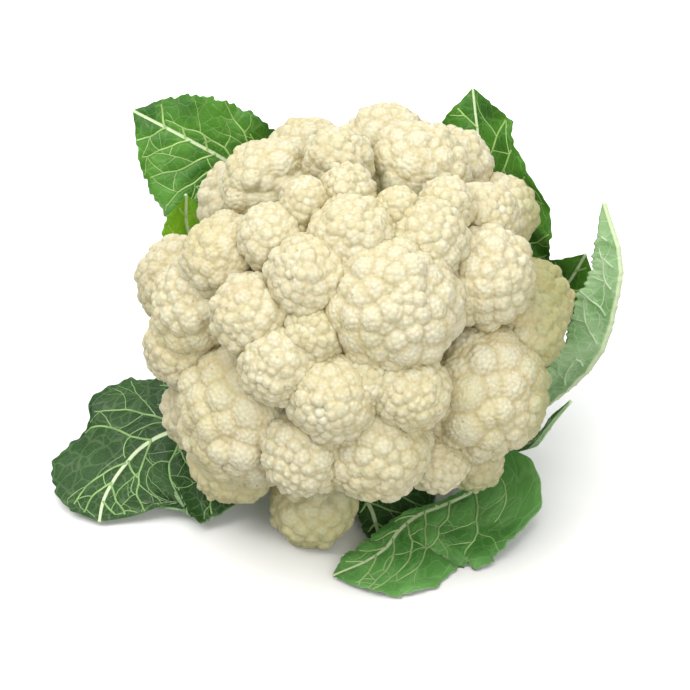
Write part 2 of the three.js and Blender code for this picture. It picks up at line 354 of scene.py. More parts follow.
def ball_template(cuts):
    """A ball from a cube with this many cuts along each edge, made once for each number."""
    if cuts in ball_templates:
        return ball_templates[cuts]
    bpy.ops.object.select_all(action="DESELECT")
    bpy.ops.mesh.primitive_cube_add(size=2.0)
    ball = bpy.context.object
    bpy.ops.object.mode_set(mode="EDIT")
    bpy.ops.mesh.select_all(action="SELECT")
    bpy.ops.mesh.subdivide(number_cuts=cuts)
    bpy.ops.object.mode_set(mode="OBJECT")
    bpy.ops.object.shade_smooth()
    corner = np.empty(len(ball.data.vertices) * 3)
    ball.data.vertices.foreach_get("co", corner)
    rays = np.tan(corner.reshape(-1, 3) * math.pi / 4)
    rays /= np.linalg.norm(rays, axis=1, keepdims=True)
    share = (1 - rays[:, 2]) / 2
    cap = 1 - share / CAP_SHARE * (1 - math.cos(CAP_ANGLE))
    rest = math.cos(CAP_ANGLE) - (share - CAP_SHARE) / (1 - CAP_SHARE) * (1 + math.cos(CAP_ANGLE))
    height = np.clip(np.where(share < CAP_SHARE, cap, rest), -1, 1)
    flat = np.linalg.norm(rays[:, :2], axis=1, keepdims=True)
    rays[:, :2] *= np.sqrt(1 - height ** 2)[:, None] / np.maximum(flat, 1e-9)
    rays[:, 2] = height
    ball_templates[cuts] = (ball, rays)
    return ball_templates[cuts]


# %% The floret's shape
LUMP_TIP, LUMP_EDGE = 0.12, 0.50  # widths of the first lumps, of the floret's radius
LUMP_GROWTH = 0.65  # below one, lumps widen fast near the tip
LUMP_WANDER, BEAD_WANDER = 0.12, 0.09  # how far they stray from the spiral, of their width
LUMP_UNEVEN = 0.030  # how much lumps differ in height, of the radius
BEAD_UNEVEN = 0.05  # how much beads differ in height, of their width
LUMPS_END, BEADS_END = math.radians(112), math.radians(125)  # how far down the spirals go
BEAD_TIP, BEAD_EDGE = 2.0, 3.2  # widths of the beads on a lump, mm
BEAD_GROWTH = 0.8
BEAD_FLOOR = 0.8  # lowest place between beads, of the lump's radius
BEADED_LUMP = 2.0  # a lump with a smaller radius is one bead itself, mm
LUMP_SIZES = 4  # lumps of about one size share their spiral of beads
PLUMPNESS = 0.72  # a lump's radius, of its width
PRESS_DEPTH = 2.4  # how far neighbours press into each other, mm
PRESS_ROUND = 2.6  # how softly a floret flattens where they meet, mm
PRESS_SHADE = 1.6  # how fast the shade of a seam fades beside it, mm
BRANCH_WIDTH, BRANCH_SLOPE = 0.8, 0.42  # of the floret's radius, at its foot and inwards
BRANCH_LEAST = 0.2
TABLE_REST = 0.15  # how far the curd stays above the table, mm
STALK_SINK = 1.0  # how far a branch may reach into the stalk, mm
ALONGSIDE = 0.02  # cosine below which a ray runs beside a wall
FAR_AWAY = 1e3  # further than anything on the head, mm
NEIGHBOUR_GAP = 30  # florets further apart than this never meet, mm


def soft_minimum(first, second, softness):
    """The smaller of two, with the corner where they cross rounded off."""
    overlap = np.maximum(softness - np.abs(first - second), 0) / softness
    return np.minimum(first, second) - overlap ** 2 * softness / 4


def branch_reach(floret, rays):
    """The distance to the smooth ball and tapering branch under the lumps, in millimetres."""
    inward = np.maximum(-rays[:, 2], 0)
    sideways = np.where(rays[:, 2] > 0, 1, np.sqrt(np.maximum(1 - rays[:, 2] ** 2, 0)))
    slope = BRANCH_SLOPE * floret.radius / floret.reach
    return BRANCH_WIDTH * floret.radius / np.maximum(sideways + slope * inward, BRANCH_LEAST)


def shape_floret(floret, rays, random):
    """Moves unit rays out to the floret's surface. Returns its points in millimetres in the
    floret's own axes, and each point's tone: crease, seam between beads, branch, and its lump's own."""
    directions, widths = lump_spiral(LUMP_TIP, LUMP_EDGE, LUMPS_END, LUMP_GROWTH, random, LUMP_WANDER)
    heights = random.normal(0, LUMP_UNEVEN, len(widths))
    reach, lump, crease = outermost_lump(rays, directions, widths, heights, PLUMPNESS)
    under = branch_reach(floret, rays) / floret.radius
    on_branch = reach < under
    points = rays * (np.maximum(reach, under) * floret.radius)[:, None]

    radius = widths * PLUMPNESS * floret.radius
    centre = directions * ((1 + heights) * floret.radius - radius)[:, None]
    axes = turned_frame(directions, random)
    outward = points - centre[lump]
    outward /= np.linalg.norm(outward, axis=1, keepdims=True)
    bead_rays = np.einsum("nij,nj->ni", axes[lump], outward)
    lift, seam = np.zeros(len(rays)), np.zeros(len(rays))
    bounds = np.quantile(radius[radius > BEADED_LUMP], np.linspace(0, 1, LUMP_SIZES + 1))
    for smallest, largest in zip(bounds[:-1], bounds[1:]):
        size = (smallest + largest) / 2
        chosen = (radius[lump] >= smallest) & (radius[lump] <= largest) & ~on_branch
        if not chosen.any():
            continue
        bead_directions, bead_widths = lump_spiral(
            BEAD_TIP / size, BEAD_EDGE / size, BEADS_END, BEAD_GROWTH, random, BEAD_WANDER)
        bead_heights = random.normal(0, BEAD_UNEVEN, len(bead_widths)) * bead_widths
        bead_reach, _, bead_seam = outermost_lump(
            bead_rays[chosen], bead_directions, bead_widths, bead_heights, PLUMPNESS)
        lift[chosen] = (np.maximum(bead_reach, BEAD_FLOOR) - 1) * radius[lump][chosen]
        seam[chosen] = bead_seam
    points = points + outward * lift[:, None]
    tone = np.stack([crease, seam, on_branch.astype(float), random.random(len(widths))[lump]], 1)
    return points, tone


def wall_along(towards, share):
    """How far each ray goes before a flat wall, from its cosine and the wall's distance, mm."""
    return np.where(towards > ALONGSIDE, share / np.maximum(towards, ALONGSIDE), FAR_AWAY)


def press_against_neighbours(floret, points):
    """Flattens the floret softly where it meets its neighbours, the stalk and the table.
    Returns the points, and how close each is to a neighbour, from 0 to 1."""
    distance = np.linalg.norm(points, axis=1)
    rays = points / distance[:, None]
    room = np.full(len(points), FAR_AWAY)
    for other in florets:
        across = other.middle - floret.middle
        apart = np.linalg.norm(across)
        if other is floret or apart > floret.radius + other.radius + NEIGHBOUR_GAP:
            continue
        share = (apart ** 2 + floret.radius ** 2 - other.radius ** 2) / (2 * apart)
        wall = wall_along(rays @ (across / apart), share + PRESS_DEPTH)
        room = np.minimum(room, wall - PRESS_DEPTH - distance)
        distance = soft_minimum(distance, wall, PRESS_ROUND)
    outward = head_direction(min(floret.down, 90), floret.turn)
    to_stalk = (floret.middle - head_middle) @ outward - STALK_RADIUS + STALK_SINK
    distance = np.minimum(distance, wall_along(-(rays @ outward), to_stalk))
    distance = np.minimum(distance, wall_along(-rays[:, 2], floret.middle[2] - TABLE_REST))
    return rays * distance[:, None], np.exp(-np.maximum(room, 0) / PRESS_SHADE)


# %% [markdown]
# ## The curd's finish
# Fresh curd is cream white and a little translucent, so light bleeds through it and softens
# the creases. The creases and the seams between beads are painted darker and tan: painted
# shade, and painted light bounced between their walls; the tissue is older there too. Large
# faint patches run from ivory to straw, a few sides blush, and small grey-green and brown
# flecks sit on the skin. The florets low down and at the far right are painted darker and
# greener, as painted shade with the green light the leaves bounce. The shaded stalks inside
# turn pale green.

# %% Curd material
def make_curd_material():
    material, tree, shader = new_material(
        "curd", Roughness=0.58, Subsurface_Weight=0.35, Subsurface_Radius=(1.0, 0.62, 0.32),
        Subsurface_Scale=0.0026, Specular_IOR_Level=0.35)
    place = object_place(tree)
    spot = add_node(tree, "ShaderNodeSeparateXYZ", Vector=place).outputs
    crease, seam, branch = read_layer(tree, "tone")
    fine = noise(tree, place, 700.0, 3.0)

    straw = smooth_step(tree, noise(tree, place, 28.0, 3.0), 0.45, 0.75)
    colour = mix_colour(tree, straw, (0.655, 0.628, 0.474, 1), (0.595, 0.562, 0.357, 1))
    # Painted shade: the florets low down, facing the table, are painted darker and greener.
    colour = tint(tree, colour, fade(tree, spot["Z"], 0.005, 0.05), 0.75, (0.50, 0.51, 0.25, 1))
    # Painted shade: the florets at the far right, under the right leaf, are painted dark olive, for its shade
    # and the green light it bounces on them.
    colour = tint(tree, colour, smooth_step(tree, spot["X"], 0.067, 0.084), 0.85, (0.31, 0.34, 0.13, 1))
    blush = smooth_step(tree, noise(tree, place, 60.0, 2.0), 0.58, 0.8)
    colour = tint(tree, colour, blush, 0.3, (0.70, 0.56, 0.42, 1))
    # Painted shade: the creases between lumps and florets are painted darker and tan, for their shade and the
    # light bounced between their walls.
    deep = maths(tree, "MULTIPLY", crease, maths(tree, "MULTIPLY_ADD", fine, 0.5, 0.55))
    colour = tint(tree, colour, deep, 0.80, (0.50, 0.40, 0.18, 1))
    # Painted shade in the seams between beads: darker and tan.
    colour = tint(tree, colour, seam, 0.50, (0.50, 0.43, 0.20, 1))

    cells = add_node(tree, "ShaderNodeTexVoronoi", Vector=place, Scale=420.0).outputs
    pick = add_node(tree, "ShaderNodeSeparateColor", Color=cells["Color"]).outputs
    fleck = maths(tree, "MULTIPLY", maths(tree, "GREATER_THAN", pick[0], 0.94),
                  fade(tree, cells["Distance"], 0.1, 0.35))
    fleck_colour = mix_colour(tree, pick[1], (0.30, 0.30, 0.18, 1), (0.42, 0.25, 0.10, 1))
    colour = tint(tree, colour, fleck, 0.6, fleck_colour)
    colour = tint(tree, colour, branch, 0.8, (0.70, 0.74, 0.42, 1))

    grains = add_node(tree, "ShaderNodeTexVoronoi", {"feature": "SMOOTH_F1"}, Vector=place, Scale=900.0,
                      Smoothness=0.4).outputs["Distance"]
    height = maths(tree, "SUBTRACT", maths(tree, "MULTIPLY", fine, 0.4), grains)
    join(tree, shader, Base_Color=colour, Roughness=maths(tree, "MULTIPLY_ADD", fine, 0.2, 0.5),
         Normal=bump(tree, height, 0.5, 0.00035))
    return material


curd = make_curd_material()


# %% [markdown]
# ## Growing the florets
# Each floret takes its own copy of the ball. Florets that face the viewer get points less
# than half a millimetre apart, so that even the granules are real shape. The ones behind and
# below get fewer.

# %% Florets
FINE_STEP, PLAIN_STEP = 0.45, 0.66  # distance between points on a floret, mm
HIDDEN_ROWS = ("back", "rim")
FLORET_SEED = 100
SQUARES_PER_BALL = 6  # the sides of the cube that a ball is made from


def write_mesh_points(piece, points_mm):
    piece.data.vertices.foreach_set("co", (points_mm * MM).astype(np.float32).ravel())
    piece.data.update()


def read_points(piece):
    points = np.empty(len(piece.data.vertices) * 3)
    piece.data.vertices.foreach_get("co", points)
    return points.reshape(-1, 3)


def add_layer(piece, name, kind, field, values):
    """Keeps numbers on a piece's points, for its finish to read."""
    layer = piece.data.attributes.new(name, kind, "POINT")
    layer.data.foreach_set(field, values.astype(np.float32).ravel())


def grow_floret(floret, seed):
    """One floret as a piece, at its place on the head."""
    random = np.random.default_rng(seed)
    step = PLAIN_STEP if floret.row in HIDDEN_ROWS else FINE_STEP
    cap_area = 2 * math.pi * floret.radius ** 2 * (1 - math.cos(CAP_ANGLE))
    cuts = int(math.sqrt(cap_area / CAP_SHARE / step ** 2 / SQUARES_PER_BALL)) - 1
    ball, rays = ball_template(cuts)
    piece = bpy.data.objects.new(f"curd_{floret.row}_{floret.node.rsplit('_', 1)[1]}", ball.data.copy())
    bpy.context.collection.objects.link(piece)
    points, tone = shape_floret(floret, rays, random)
    twist = random.uniform(0, 2 * math.pi)
    helper = crown if abs(floret.outward @ crown) < 0.8 else front
    first = np.cross(floret.outward, helper)
    first /= np.linalg.norm(first)
    second = np.cross(floret.outward, first)
    axes = np.stack([first * math.cos(twist) + second * math.sin(twist),
                     second * math.cos(twist) - first * math.sin(twist), floret.outward])
    if np.linalg.det(axes) < 0:
        axes[0] = -axes[0]
    points, pressed = press_against_neighbours(floret, points @ axes)
    # The seams between florets join the creases, which the finish paints darker and tan as shade.
    tone[:, 0] = np.maximum(tone[:, 0], pressed)
    write_mesh_points(piece, points + floret.middle)
    add_layer(piece, "tone", "FLOAT_COLOR", "color", np.clip(tone, 0, 1))
    piece.data.materials.append(curd)
    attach(piece, "root")
    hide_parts(floret.node)
    return piece


triangles = 0
for number, floret in enumerate(florets):
    piece = grow_floret(floret, FLORET_SEED + number)
    triangles += 2 * len(piece.data.polygons)
for ball, _ in ball_templates.values():
    bpy.data.objects.remove(ball)
print("florets", len(florets), "triangles", triangles)


# %% [markdown]
# ## What a leaf is
# The wrapper leaves are thick and waxy. A stout pale midrib runs from the stalk to the tip,
# pale side veins leave it and fork towards the edge, and the blade puffs up between them.
# The edge is thin, wavy and slightly toothed. The underside is paler and the ribs stand out.
#
# A flattened tube gives this shape: one half of its wall is the upper side, the other half is
# the underside, and its two caps close the cut end and the tip. So each leaf is a cylinder
# cut into many rings, whose points are then placed along the midrib. The midrib's points are
# in millimetres, from the spot on the table under the head's middle. The widths and lifts of
# the two halves run from the stalk to the tip; where the right is left out, it is as the left.

# %% The leaves' places
LEAVES = {
    "leaf_front_right": dict(
        midrib=[(0, 10, 16), (17, 2, 10), (34, -3, 9), (46, -9, 10), (46, -19, 10),
                (33, -28, 9), (24, -34, 9), (16, -43, 8), (10, -53, 6), (1, -60, 4), (-11, -67, 3)],
        left=[5, 5, 5, 10, 19, 27, 33, 36, 35, 31, 29, 28, 25, 19, 0.5],
        right=[5, 5, 5, 4, 3, 3, 3, 3, 4, 5, 7, 9, 10, 9, 0.5],
        left_lift=[0, 20, 25, 2, -7, -5, 0], right_lift=[0, 0, 0, -10],
        facing=[(0.3, -0.3, 1), (0, 0, 1)], ruffle=1.6, finish="leaf_fresh"),
    "leaf_front_under": dict(
        midrib=[(-10, 5, 12), (-3, -8, 7), (4, -22, 5), (7, -36, 3.5), (9, -48, 2.5)],
        left=[7, 18, 27, 30, 25, 15, 0.5], right=[4, 4, 5, 6, 6, 5, 0.5],
        left_lift=[-8, -6], right_lift=[0, 0], facing=[(0, 0, 1), (0, 0, 1)],
        ruffle=0.8, finish="leaf_deep"),
    "leaf_left": dict(
        midrib=[(-40, 22, 27), (-60, 12, 26), (-81, 4, 24), (-92, 0, 19), (-101, -7, 11),
                (-106, -18, 6), (-107, -30, 3)],
        left=[9, 24, 38, 44, 45, 43, 41, 41, 42, 41, 37, 28, 0.5],
        right=[8, 13, 20, 28, 34, 37, 36, 29, 28, 28, 21, 13, 0.5],
        left_lift=[0, -8, -8, 0], right_lift=[0, 0, 8, 4],
        facing=[(-0.3, -0.5, 0.8), (-0.1, -0.1, 1)], ruffle=1.8, finish="leaf_deep"),
    "leaf_right": dict(
        midrib=[(9, 27, 21), (36, 30, 4.3), (65, 27, 16), (86, 17, 39), (98, 10, 60),
                (103, 10, 80), (105, 14, 101), (98, 22, 123)],
        left=[6, 6, 8, 12, 16, 16, 16, 15, 12, 8, 0.5], right=[6, 6, 7, 11, 14, 16, 16, 16, 13, 9, 0.5],
        left_lift=[0, 45, 50, 50], right_lift=[0, 40, 65, 65],
        facing=[(0, -0.3, 0.95), (-0.8, 0.6, 0.1)], ruffle=0.9, finish="leaf_waxy"),
    "leaf_right_lower": dict(
        midrib=[(12, 19, 25), (34, 14, 18), (56, 8, 15), (72, 3, 20), (79, 1, 31), (87, 0, 43)],
        left=[4, 4, 4, 5, 6, 6, 4, 0.5], left_lift=[0, 10], facing=[(0, 0, 1), (-0.8, 0.3, 0.5)],
        ruffle=0.8, finish="leaf_waxy"),
    "leaf_right_small": dict(
        midrib=[(8, 33, 35), (33, 52, 27), (61, 60, 38), (80, 57, 56), (89, 48, 72), (95, 42, 89)],
        left=[5, 5, 5, 6, 9, 12, 14, 12, 0.5],
        left_lift=[0, 20], right_lift=[0, 10], facing=[(0, 0, 1), (-0.3, -0.9, 0.3)],
        ruffle=0.8, finish="leaf_bright"),
    "leaf_back_right": dict(
        midrib=[(0, 45, 34), (14, 66, 38), (31, 84, 49), (47, 91, 74), (54, 89, 98),
                (52, 87, 118), (49, 97, 141)],
        left=[7, 7, 10, 16, 22, 23, 22, 20, 20, 18, 0.5],
        right=[7, 7, 13, 21, 30, 38, 43, 48, 47, 37, 22, 17, 0.5],
        left_lift=[0, 10, 10, 10], right_lift=[0, 15, 22, 15],
        facing=[(-0.2, -0.6, 0.8), (-0.5, -0.85, 0.1)], ruffle=2.6, finish="leaf_bright"),
    "leaf_back_left": dict(
        midrib=[(-24, 45, 41), (-34, 66, 51), (-43, 84, 70), (-47, 88, 96), (-54, 80, 112),
                (-73, 81, 124), (-97, 89, 134)],
        left=[7, 7, 10, 16, 23, 30, 34, 36, 36, 31, 21, 0.5],
        right=[7, 7, 9, 13, 16, 19, 22, 23, 23, 21, 15, 0.5],
        left_lift=[0, 5, 8, 0],
        facing=[(0.3, -0.8, 0.5), (0, -0.9, 0.42)], ruffle=1.6, finish="leaf_bright"),
    "leaf_young": dict(
        midrib=[(-32, 37, 43), (-50, 53, 51), (-65, 60, 70), (-73, 58, 92), (-73, 56, 110)],
        left=[4, 4, 6, 11, 14, 11, 0.5], left_lift=[0, 15], facing=[(0.5, -0.5, 0.6), (0.3, -0.9, 0.3)],
        ruffle=1.2, finish="leaf_tender"),
}
for leaf in LEAVES.values():
    leaf.setdefault("right", leaf["left"])
    leaf.setdefault("right_lift", leaf["left_lift"])
leaf_base = np.array([head_middle[0], head_middle[1], 0.0])
print("leaves", len(LEAVES), "from", leaf_base.round(1))

# %% [markdown]
# ## Veins
# Side veins leave the midrib at an angle and bend towards the tip. Each sends off thinner
# ones, which send off thinner ones again. A younger vein stops where it meets another, so
# they close into a net. They are grown flat, as on a pressed leaf, with one measure along the
# midrib and one across it, and the blade is shaped round them afterwards.

# %% Growing veins
VEINS_START, VEINS_END = 0.22, 0.93  # where side veins leave the midrib, of its length
VEIN_SPACING = 15.0  # between side veins at the stalk end, mm
VEIN_STEP = 2.0  # between the points of a vein, mm
VEIN_BASE, VEIN_TAPER = 0.78, 0.30  # half width of the first one, and its loss to the tip, mm
VEIN_MEETS = 1.0  # a vein this close to another joins it, mm
VEIN_BRANCH = 0.55  # half width of a branch, of its parent's there
VEIN_LOSS = 0.55  # of its half width, from the start of a vein to its end
VEIN_LEVELS = 3
SHAPED_LEVELS = 2  # only these veins dent the blade
FAR_FROM_VEINS = 8.0


def smooth_along(values, places):
    """A smooth curve through evenly spaced values, read at places from 0 to 1."""
    values = np.asarray(values, dtype=float).reshape(len(values), -1)
    last = len(values) - 1
    padded = np.vstack([2 * values[0] - values[1], values, 2 * values[-1] - values[-2]])
    position = np.clip(places, 0, 1) * last
    index = np.minimum(position.astype(int), last - 1)
    part = (position - index)[:, None]
    before, start, end, after = (padded[index + offset] for offset in range(4))
    curve = 0.5 * (2 * start + (end - before) * part
                   + (2 * before - 5 * start + 4 * end - after) * part ** 2
                   + (3 * start - before - 3 * end + after) * part ** 3)
    return curve[:, 0] if curve.shape[1] == 1 else curve


def first_veins(length, widths, random):
    """The side veins that leave the midrib: start, angle, bend, length, half width, level."""
    veins = []
    for half in (-1, 1):
        place = VEINS_START * length + random.uniform(0, 0.5) * VEIN_SPACING
        while place < VEINS_END * length:
            share = place / length
            reach = np.interp(share, np.linspace(0, 1, len(widths[half])), widths[half]) * 1.4 + 5
            angle = half * math.radians(60 - 20 * share + random.normal(0, 3))
            veins.append((np.array([place, 0.0]), angle, -0.35 * half, reach,
                          VEIN_BASE - VEIN_TAPER * share, 1))
            place += VEIN_SPACING * (1.1 - 0.5 * share) * random.uniform(0.85, 1.15)
    return veins


def grow_veins(length, widths, random):
    """All the side veins of a leaf: the flat points, half widths and level of each one."""
    waiting = first_veins(length, widths, random)
    grown, taken = [], np.full((1, 2), -FAR_AWAY)
    while waiting:
        start, angle, bend, reach, half_width, level = waiting.pop(0)
        points, thickness = [start], [half_width]
        others = taken[np.linalg.norm(taken - start, axis=1) > 1.6 * VEIN_STEP]
        steps = max(int(reach / VEIN_STEP), 2)
        branch_side, next_branch = random.choice([-1, 1]), random.uniform(2.0, 4.0)
        for step in range(steps):
            angle += bend / steps + random.normal(0, 0.02 + 0.07 * level)
            point = points[-1] + VEIN_STEP * np.array([math.cos(angle), math.sin(angle)])
            room = np.interp(point[0] / length, np.linspace(0, 1, len(widths[1])),
                             widths[1 if point[1] > 0 else -1])
            if not 0 < point[0] < length or abs(point[1]) > room - 0.8 or abs(point[1]) < 1.0:
                break
            apart = np.linalg.norm(others - point, axis=1)
            meets = len(others) > 0 and apart.min() < VEIN_MEETS
            points.append(others[apart.argmin()] if meets else point)
            thickness.append(half_width * (1 - VEIN_LOSS * (step + 1) / steps))
            if meets:
                break
            if level < VEIN_LEVELS and step >= next_branch:
                turn = branch_side * random.uniform(0.7, 1.05)
                further = max((reach - step * VEIN_STEP) * random.uniform(0.6, 0.95), 7.0)
                waiting.append((point, angle + turn, -0.4 * turn, further,
                                thickness[-1] * VEIN_BRANCH, level + 1))
                angle -= 0.25 * turn
                branch_side = -branch_side
                next_branch = step + random.uniform(2.4, 4.4)
        if len(points) > 1:
            points = np.array(points)
            taken = np.vstack([taken, points, (points[1:] + points[:-1]) / 2])
            grown.append((points, np.array(thickness), level))
    return grown


def distance_to_veins(along, across, veins):
    """How far each point is from a vein of the first two levels, counting thin ones less, mm."""
    near = np.full(along.shape, FAR_FROM_VEINS)
    for points, _, level in veins:
        if level > SHAPED_LEVELS:
            continue
        for start, end in zip(points[:-1], points[1:]):
            stretch = end - start
            part = (along - start[0]) * stretch[0] + (across - start[1]) * stretch[1]
            part = np.clip(part / (stretch @ stretch), 0, 1)
            distance = np.hypot(along - start[0] - part * stretch[0],
                                across - start[1] - part * stretch[1])
            near = np.minimum(near, distance + (level - 1) * 0.8)
    return near


# %% [markdown]
# ## The leaf's shape
# The blade starts as a ruled strip along the midrib. Then its edge is waved, its halves puff
# up between the veins, and the underside gets the standing ribs.

# %% Shaping a leaf
RING_STEP, COLUMN_STEP = 0.60, 0.80  # distance between points along and across a leaf, mm
BLADE, EDGE = 0.95, 0.3  # thickness of the blade and of its edge, mm
RIB_BASE, RIB_TIP = 5.5, 1.2  # height of the midrib's ridge at the stalk and at the tip
RIB_HALF_BASE, RIB_HALF_TIP = 5.5, 0.9  # half its width there
PUFF = 0.9  # how far the blade rises between veins, mm
TOOTH, TOOTH_LENGTHS = 0.7, (9.0, 5.3, 3.1)  # depth and lengths of the edge's teeth, mm
RUFFLE_LENGTHS = (31.0, 19.0, 12.5)  # lengths of its waves, mm
TABLE_GAP = 0.25  # between a leaf and the table, mm
MOST_CUTS = 50  # rings cut in the first round, see ringed_cylinder
VEIN_SUNK = 0.05  # how deep a vein's middle lies below the blade, in radii


def waves(distance, lengths, random):
    """A gentle uneven wave along a line, between about -1 and 1."""
    total = sum(np.sin(2 * math.pi * distance / length + random.uniform(0, 2 * math.pi))
                for length in lengths)
    return total / math.sqrt(len(lengths))


def read_grid(grid, ring, column):
    """The value of a grid of points between its rings and columns."""
    low_ring = np.clip(ring.astype(int), 0, grid.shape[0] - 2)
    low_column = np.clip(column.astype(int), 0, grid.shape[1] - 2)
    part_ring, part_column = (ring - low_ring)[:, None], (column - low_column)[:, None]
    lower = grid[low_ring, low_column] * (1 - part_column) + grid[low_ring, low_column + 1] * part_column
    low_ring = low_ring + 1
    upper = grid[low_ring, low_column] * (1 - part_column) + grid[low_ring, low_column + 1] * part_column
    return lower * (1 - part_ring) + upper * part_ring


def lay_veins(veins, length, half_widths, top, bottom, clear):
    """Lays the flat veins on the blade, a little sunk into it: middle points and radii.
    Nothing is laid nearer than clear to the middle of the leaf, where the midrib stands."""
    laid = []
    for points, thickness, _ in veins:
        fine = np.linspace(0, len(points) - 1, 2 * len(points) - 1)
        along, across = (np.interp(fine, np.arange(len(points)), points[:, axis]) for axis in (0, 1))
        radius = np.interp(fine, np.arange(len(points)), thickness)
        beside = np.abs(across) >= clear
        if beside.sum() < 2:
            continue
        along, across, radius = along[beside], across[beside], radius[beside]
        ring = along / length * (top.shape[0] - 1)
        places = np.arange(top.shape[0])
        width = np.where(across > 0, np.interp(ring, places, half_widths[1]),
                         np.interp(ring, places, half_widths[-1]))
        column = (np.clip(across / width, -0.98, 0.98) + 1) / 2 * (top.shape[1] - 1)
        outer, inner = read_grid(top, ring, column), read_grid(bottom, ring, column)
        inward = (inner - outer) / np.maximum(np.linalg.norm(inner - outer, axis=1, keepdims=True), 1e-6)
        laid.append((outer + inward * radius[:, None] * VEIN_SUNK, radius))
    return laid


def midrib_frame(leaf):
    """Points along the midrib, ring by ring: how far along it each is, in millimetres and as
    a share, its place, the way across the leaf there and the way its upper side faces."""
    rough = np.linspace(0, 1, 400)
    line = smooth_along(leaf["midrib"], rough)
    travelled = np.concatenate([[0], np.cumsum(np.linalg.norm(np.diff(line, axis=0), axis=1))])
    length = travelled[-1]
    rings = MOST_CUTS * math.ceil(length / RING_STEP / MOST_CUTS)
    along = np.linspace(0, length, rings + 1)
    places = np.interp(along, travelled, rough)
    middle = smooth_along(leaf["midrib"], places)
    tangent = np.gradient(middle, axis=0)
    tangent /= np.linalg.norm(tangent, axis=1, keepdims=True)
    first, last = (np.array(way, dtype=float) for way in leaf["facing"])
    face = first + (last - first) * places[:, None]
    face -= tangent * np.sum(face * tangent, axis=1, keepdims=True)
    face /= np.linalg.norm(face, axis=1, keepdims=True)
    return along, places, middle, np.cross(tangent, face), face


def leaf_strip(leaf, random):
    """The upper and under side of a leaf as grids of points, what its finish needs to know of
    each point, its place on the pressed leaf, and the side veins laid on both sides."""
    along, places, middle, across, face = midrib_frame(leaf)
    length = along[-1]
    widest = max(max(leaf["left"]), max(leaf["right"]))
    columns = 2 * int(widest / COLUMN_STEP)
    share = np.linspace(-1, 1, columns + 1)[None, :]
    along = along[:, None] + 0 * share
    blade_starts = np.clip(places * 6 - 1.2, 0, 1)
    halves = {}
    for half in ("left", "right"):
        width = np.maximum(smooth_along(leaf[half], places), 0.2)
        tooth = waves(along[:, 0], TOOTH_LENGTHS, random) * TOOTH * blade_starts
        halves[half] = (np.maximum(width + tooth * np.minimum(width / 12, 1), 0.2),
                        np.radians(smooth_along(leaf[f"{half}_lift"], places)),
                        waves(along[:, 0], RUFFLE_LENGTHS, random) * blade_starts)
    is_right = share > 0
    width, lift, ruffle = (np.where(is_right, halves["right"][item][:, None], halves["left"][item][:, None])
                           for item in range(3))
    spread = np.abs(share) * width
    lift = lift * (0.75 + 0.25 * np.abs(share))
    outward = np.sign(share) * spread * np.cos(lift)
    wave = leaf["ruffle"] * ruffle * np.abs(share) ** 2.2 * np.minimum(width / 20, 1)
    raised = spread * np.sin(lift) + wave
    half_widths = {-1: halves["left"][0], 1: halves["right"][0]}
    veins = grow_veins(length, half_widths, random)
    near = distance_to_veins(along, np.sign(share) * spread, veins)
    to_edge = (1 - np.abs(share)) * width
    puff = PUFF * (1 - np.exp(-near / 2.2)) * np.clip(width / 14, 0, 1) * np.clip(to_edge / 3, 0, 1)
    puff *= np.clip(spread / 3, 0, 1)
    top = (middle[:, None, :] + across[:, None, :] * outward[..., None]
           + face[:, None, :] * (raised + puff)[..., None])

    root = np.sqrt(places)[:, None]
    rib_half = RIB_HALF_BASE + (RIB_HALF_TIP - RIB_HALF_BASE) * root
    rib_height = RIB_BASE + (RIB_TIP - RIB_BASE) * root
    rib = np.sqrt(np.maximum(1 - (spread / rib_half) ** 2, 0)) * rib_height
    blade = EDGE + (BLADE - EDGE) * np.clip(to_edge / 4, 0, 1)
    under_vein = 0.5 * np.exp(-near / 0.9) * np.clip(to_edge / 4, 0, 1)
    thickness = (np.maximum(blade, rib) + under_vein) * np.clip(to_edge / 0.6, 0, 1)
    rib_mask = np.clip(1.15 - spread / (0.30 * rib_half + 0.5), 0, 1)
    ridge = 0.5 * rib_mask * rib_half / RIB_HALF_BASE
    across_way, along_way = np.gradient(top, axis=1), np.gradient(top, axis=0)
    normal = np.cross(across_way, along_way)
    normal /= np.maximum(np.linalg.norm(normal, axis=2, keepdims=True), 1e-9)
    turned = np.sum(normal * face[:, None, :], axis=2, keepdims=True) < 0
    normal = np.where(turned, -normal, normal)
    bottom = top - normal * thickness[..., None]
    top = top + normal * ridge[..., None]
    masks = np.stack([rib_mask, near, near, near], axis=2)  # a layer holds four numbers
    flat_place = np.stack([along, np.sign(share) * spread, np.zeros(along.shape)], axis=2)
    laid = lay_veins(veins, length, half_widths, top, bottom, 0.0)
    stout = [vein for vein in veins if vein[2] < VEIN_LEVELS]
    laid += lay_veins(stout, length, half_widths, bottom, top, RIB_HALF_BASE / 2)
    return top, bottom, masks, flat_place, laid


def choose(piece, kind, wanted):
    """Selects the edges or faces of a piece that are wanted, and starts to edit it."""
    bpy.ops.object.mode_set(mode="EDIT")
    bpy.ops.mesh.select_mode(type=kind)
    bpy.ops.mesh.select_all(action="DESELECT")
    bpy.ops.object.mode_set(mode="OBJECT")
    for part in piece.data.edges if kind == "EDGE" else piece.data.polygons:
        part.select = wanted(part)
    bpy.ops.object.mode_set(mode="EDIT")


def ringed_cylinder(name, around, rings):
    """A cylinder of radius and half height one, cut into rings, with closed ends. The rings
    are cut in two rounds, a multiple of MOST_CUTS of them."""
    bpy.ops.object.select_all(action="DESELECT")
    bpy.ops.mesh.primitive_cylinder_add(vertices=around, radius=1, depth=2, end_fill_type="NGON")
    tube = bpy.context.object
    tube.name = name

    def upright(edge):
        first, second = edge.vertices
        return abs(tube.data.vertices[first].co.z - tube.data.vertices[second].co.z) > 1e-3

    for parts in (MOST_CUTS, rings // MOST_CUTS):
        choose(tube, "EDGE", upright)
        if parts > 1:
            bpy.ops.mesh.subdivide(number_cuts=parts - 1)
        bpy.ops.object.mode_set(mode="OBJECT")
    bpy.ops.object.shade_smooth()
    return tube


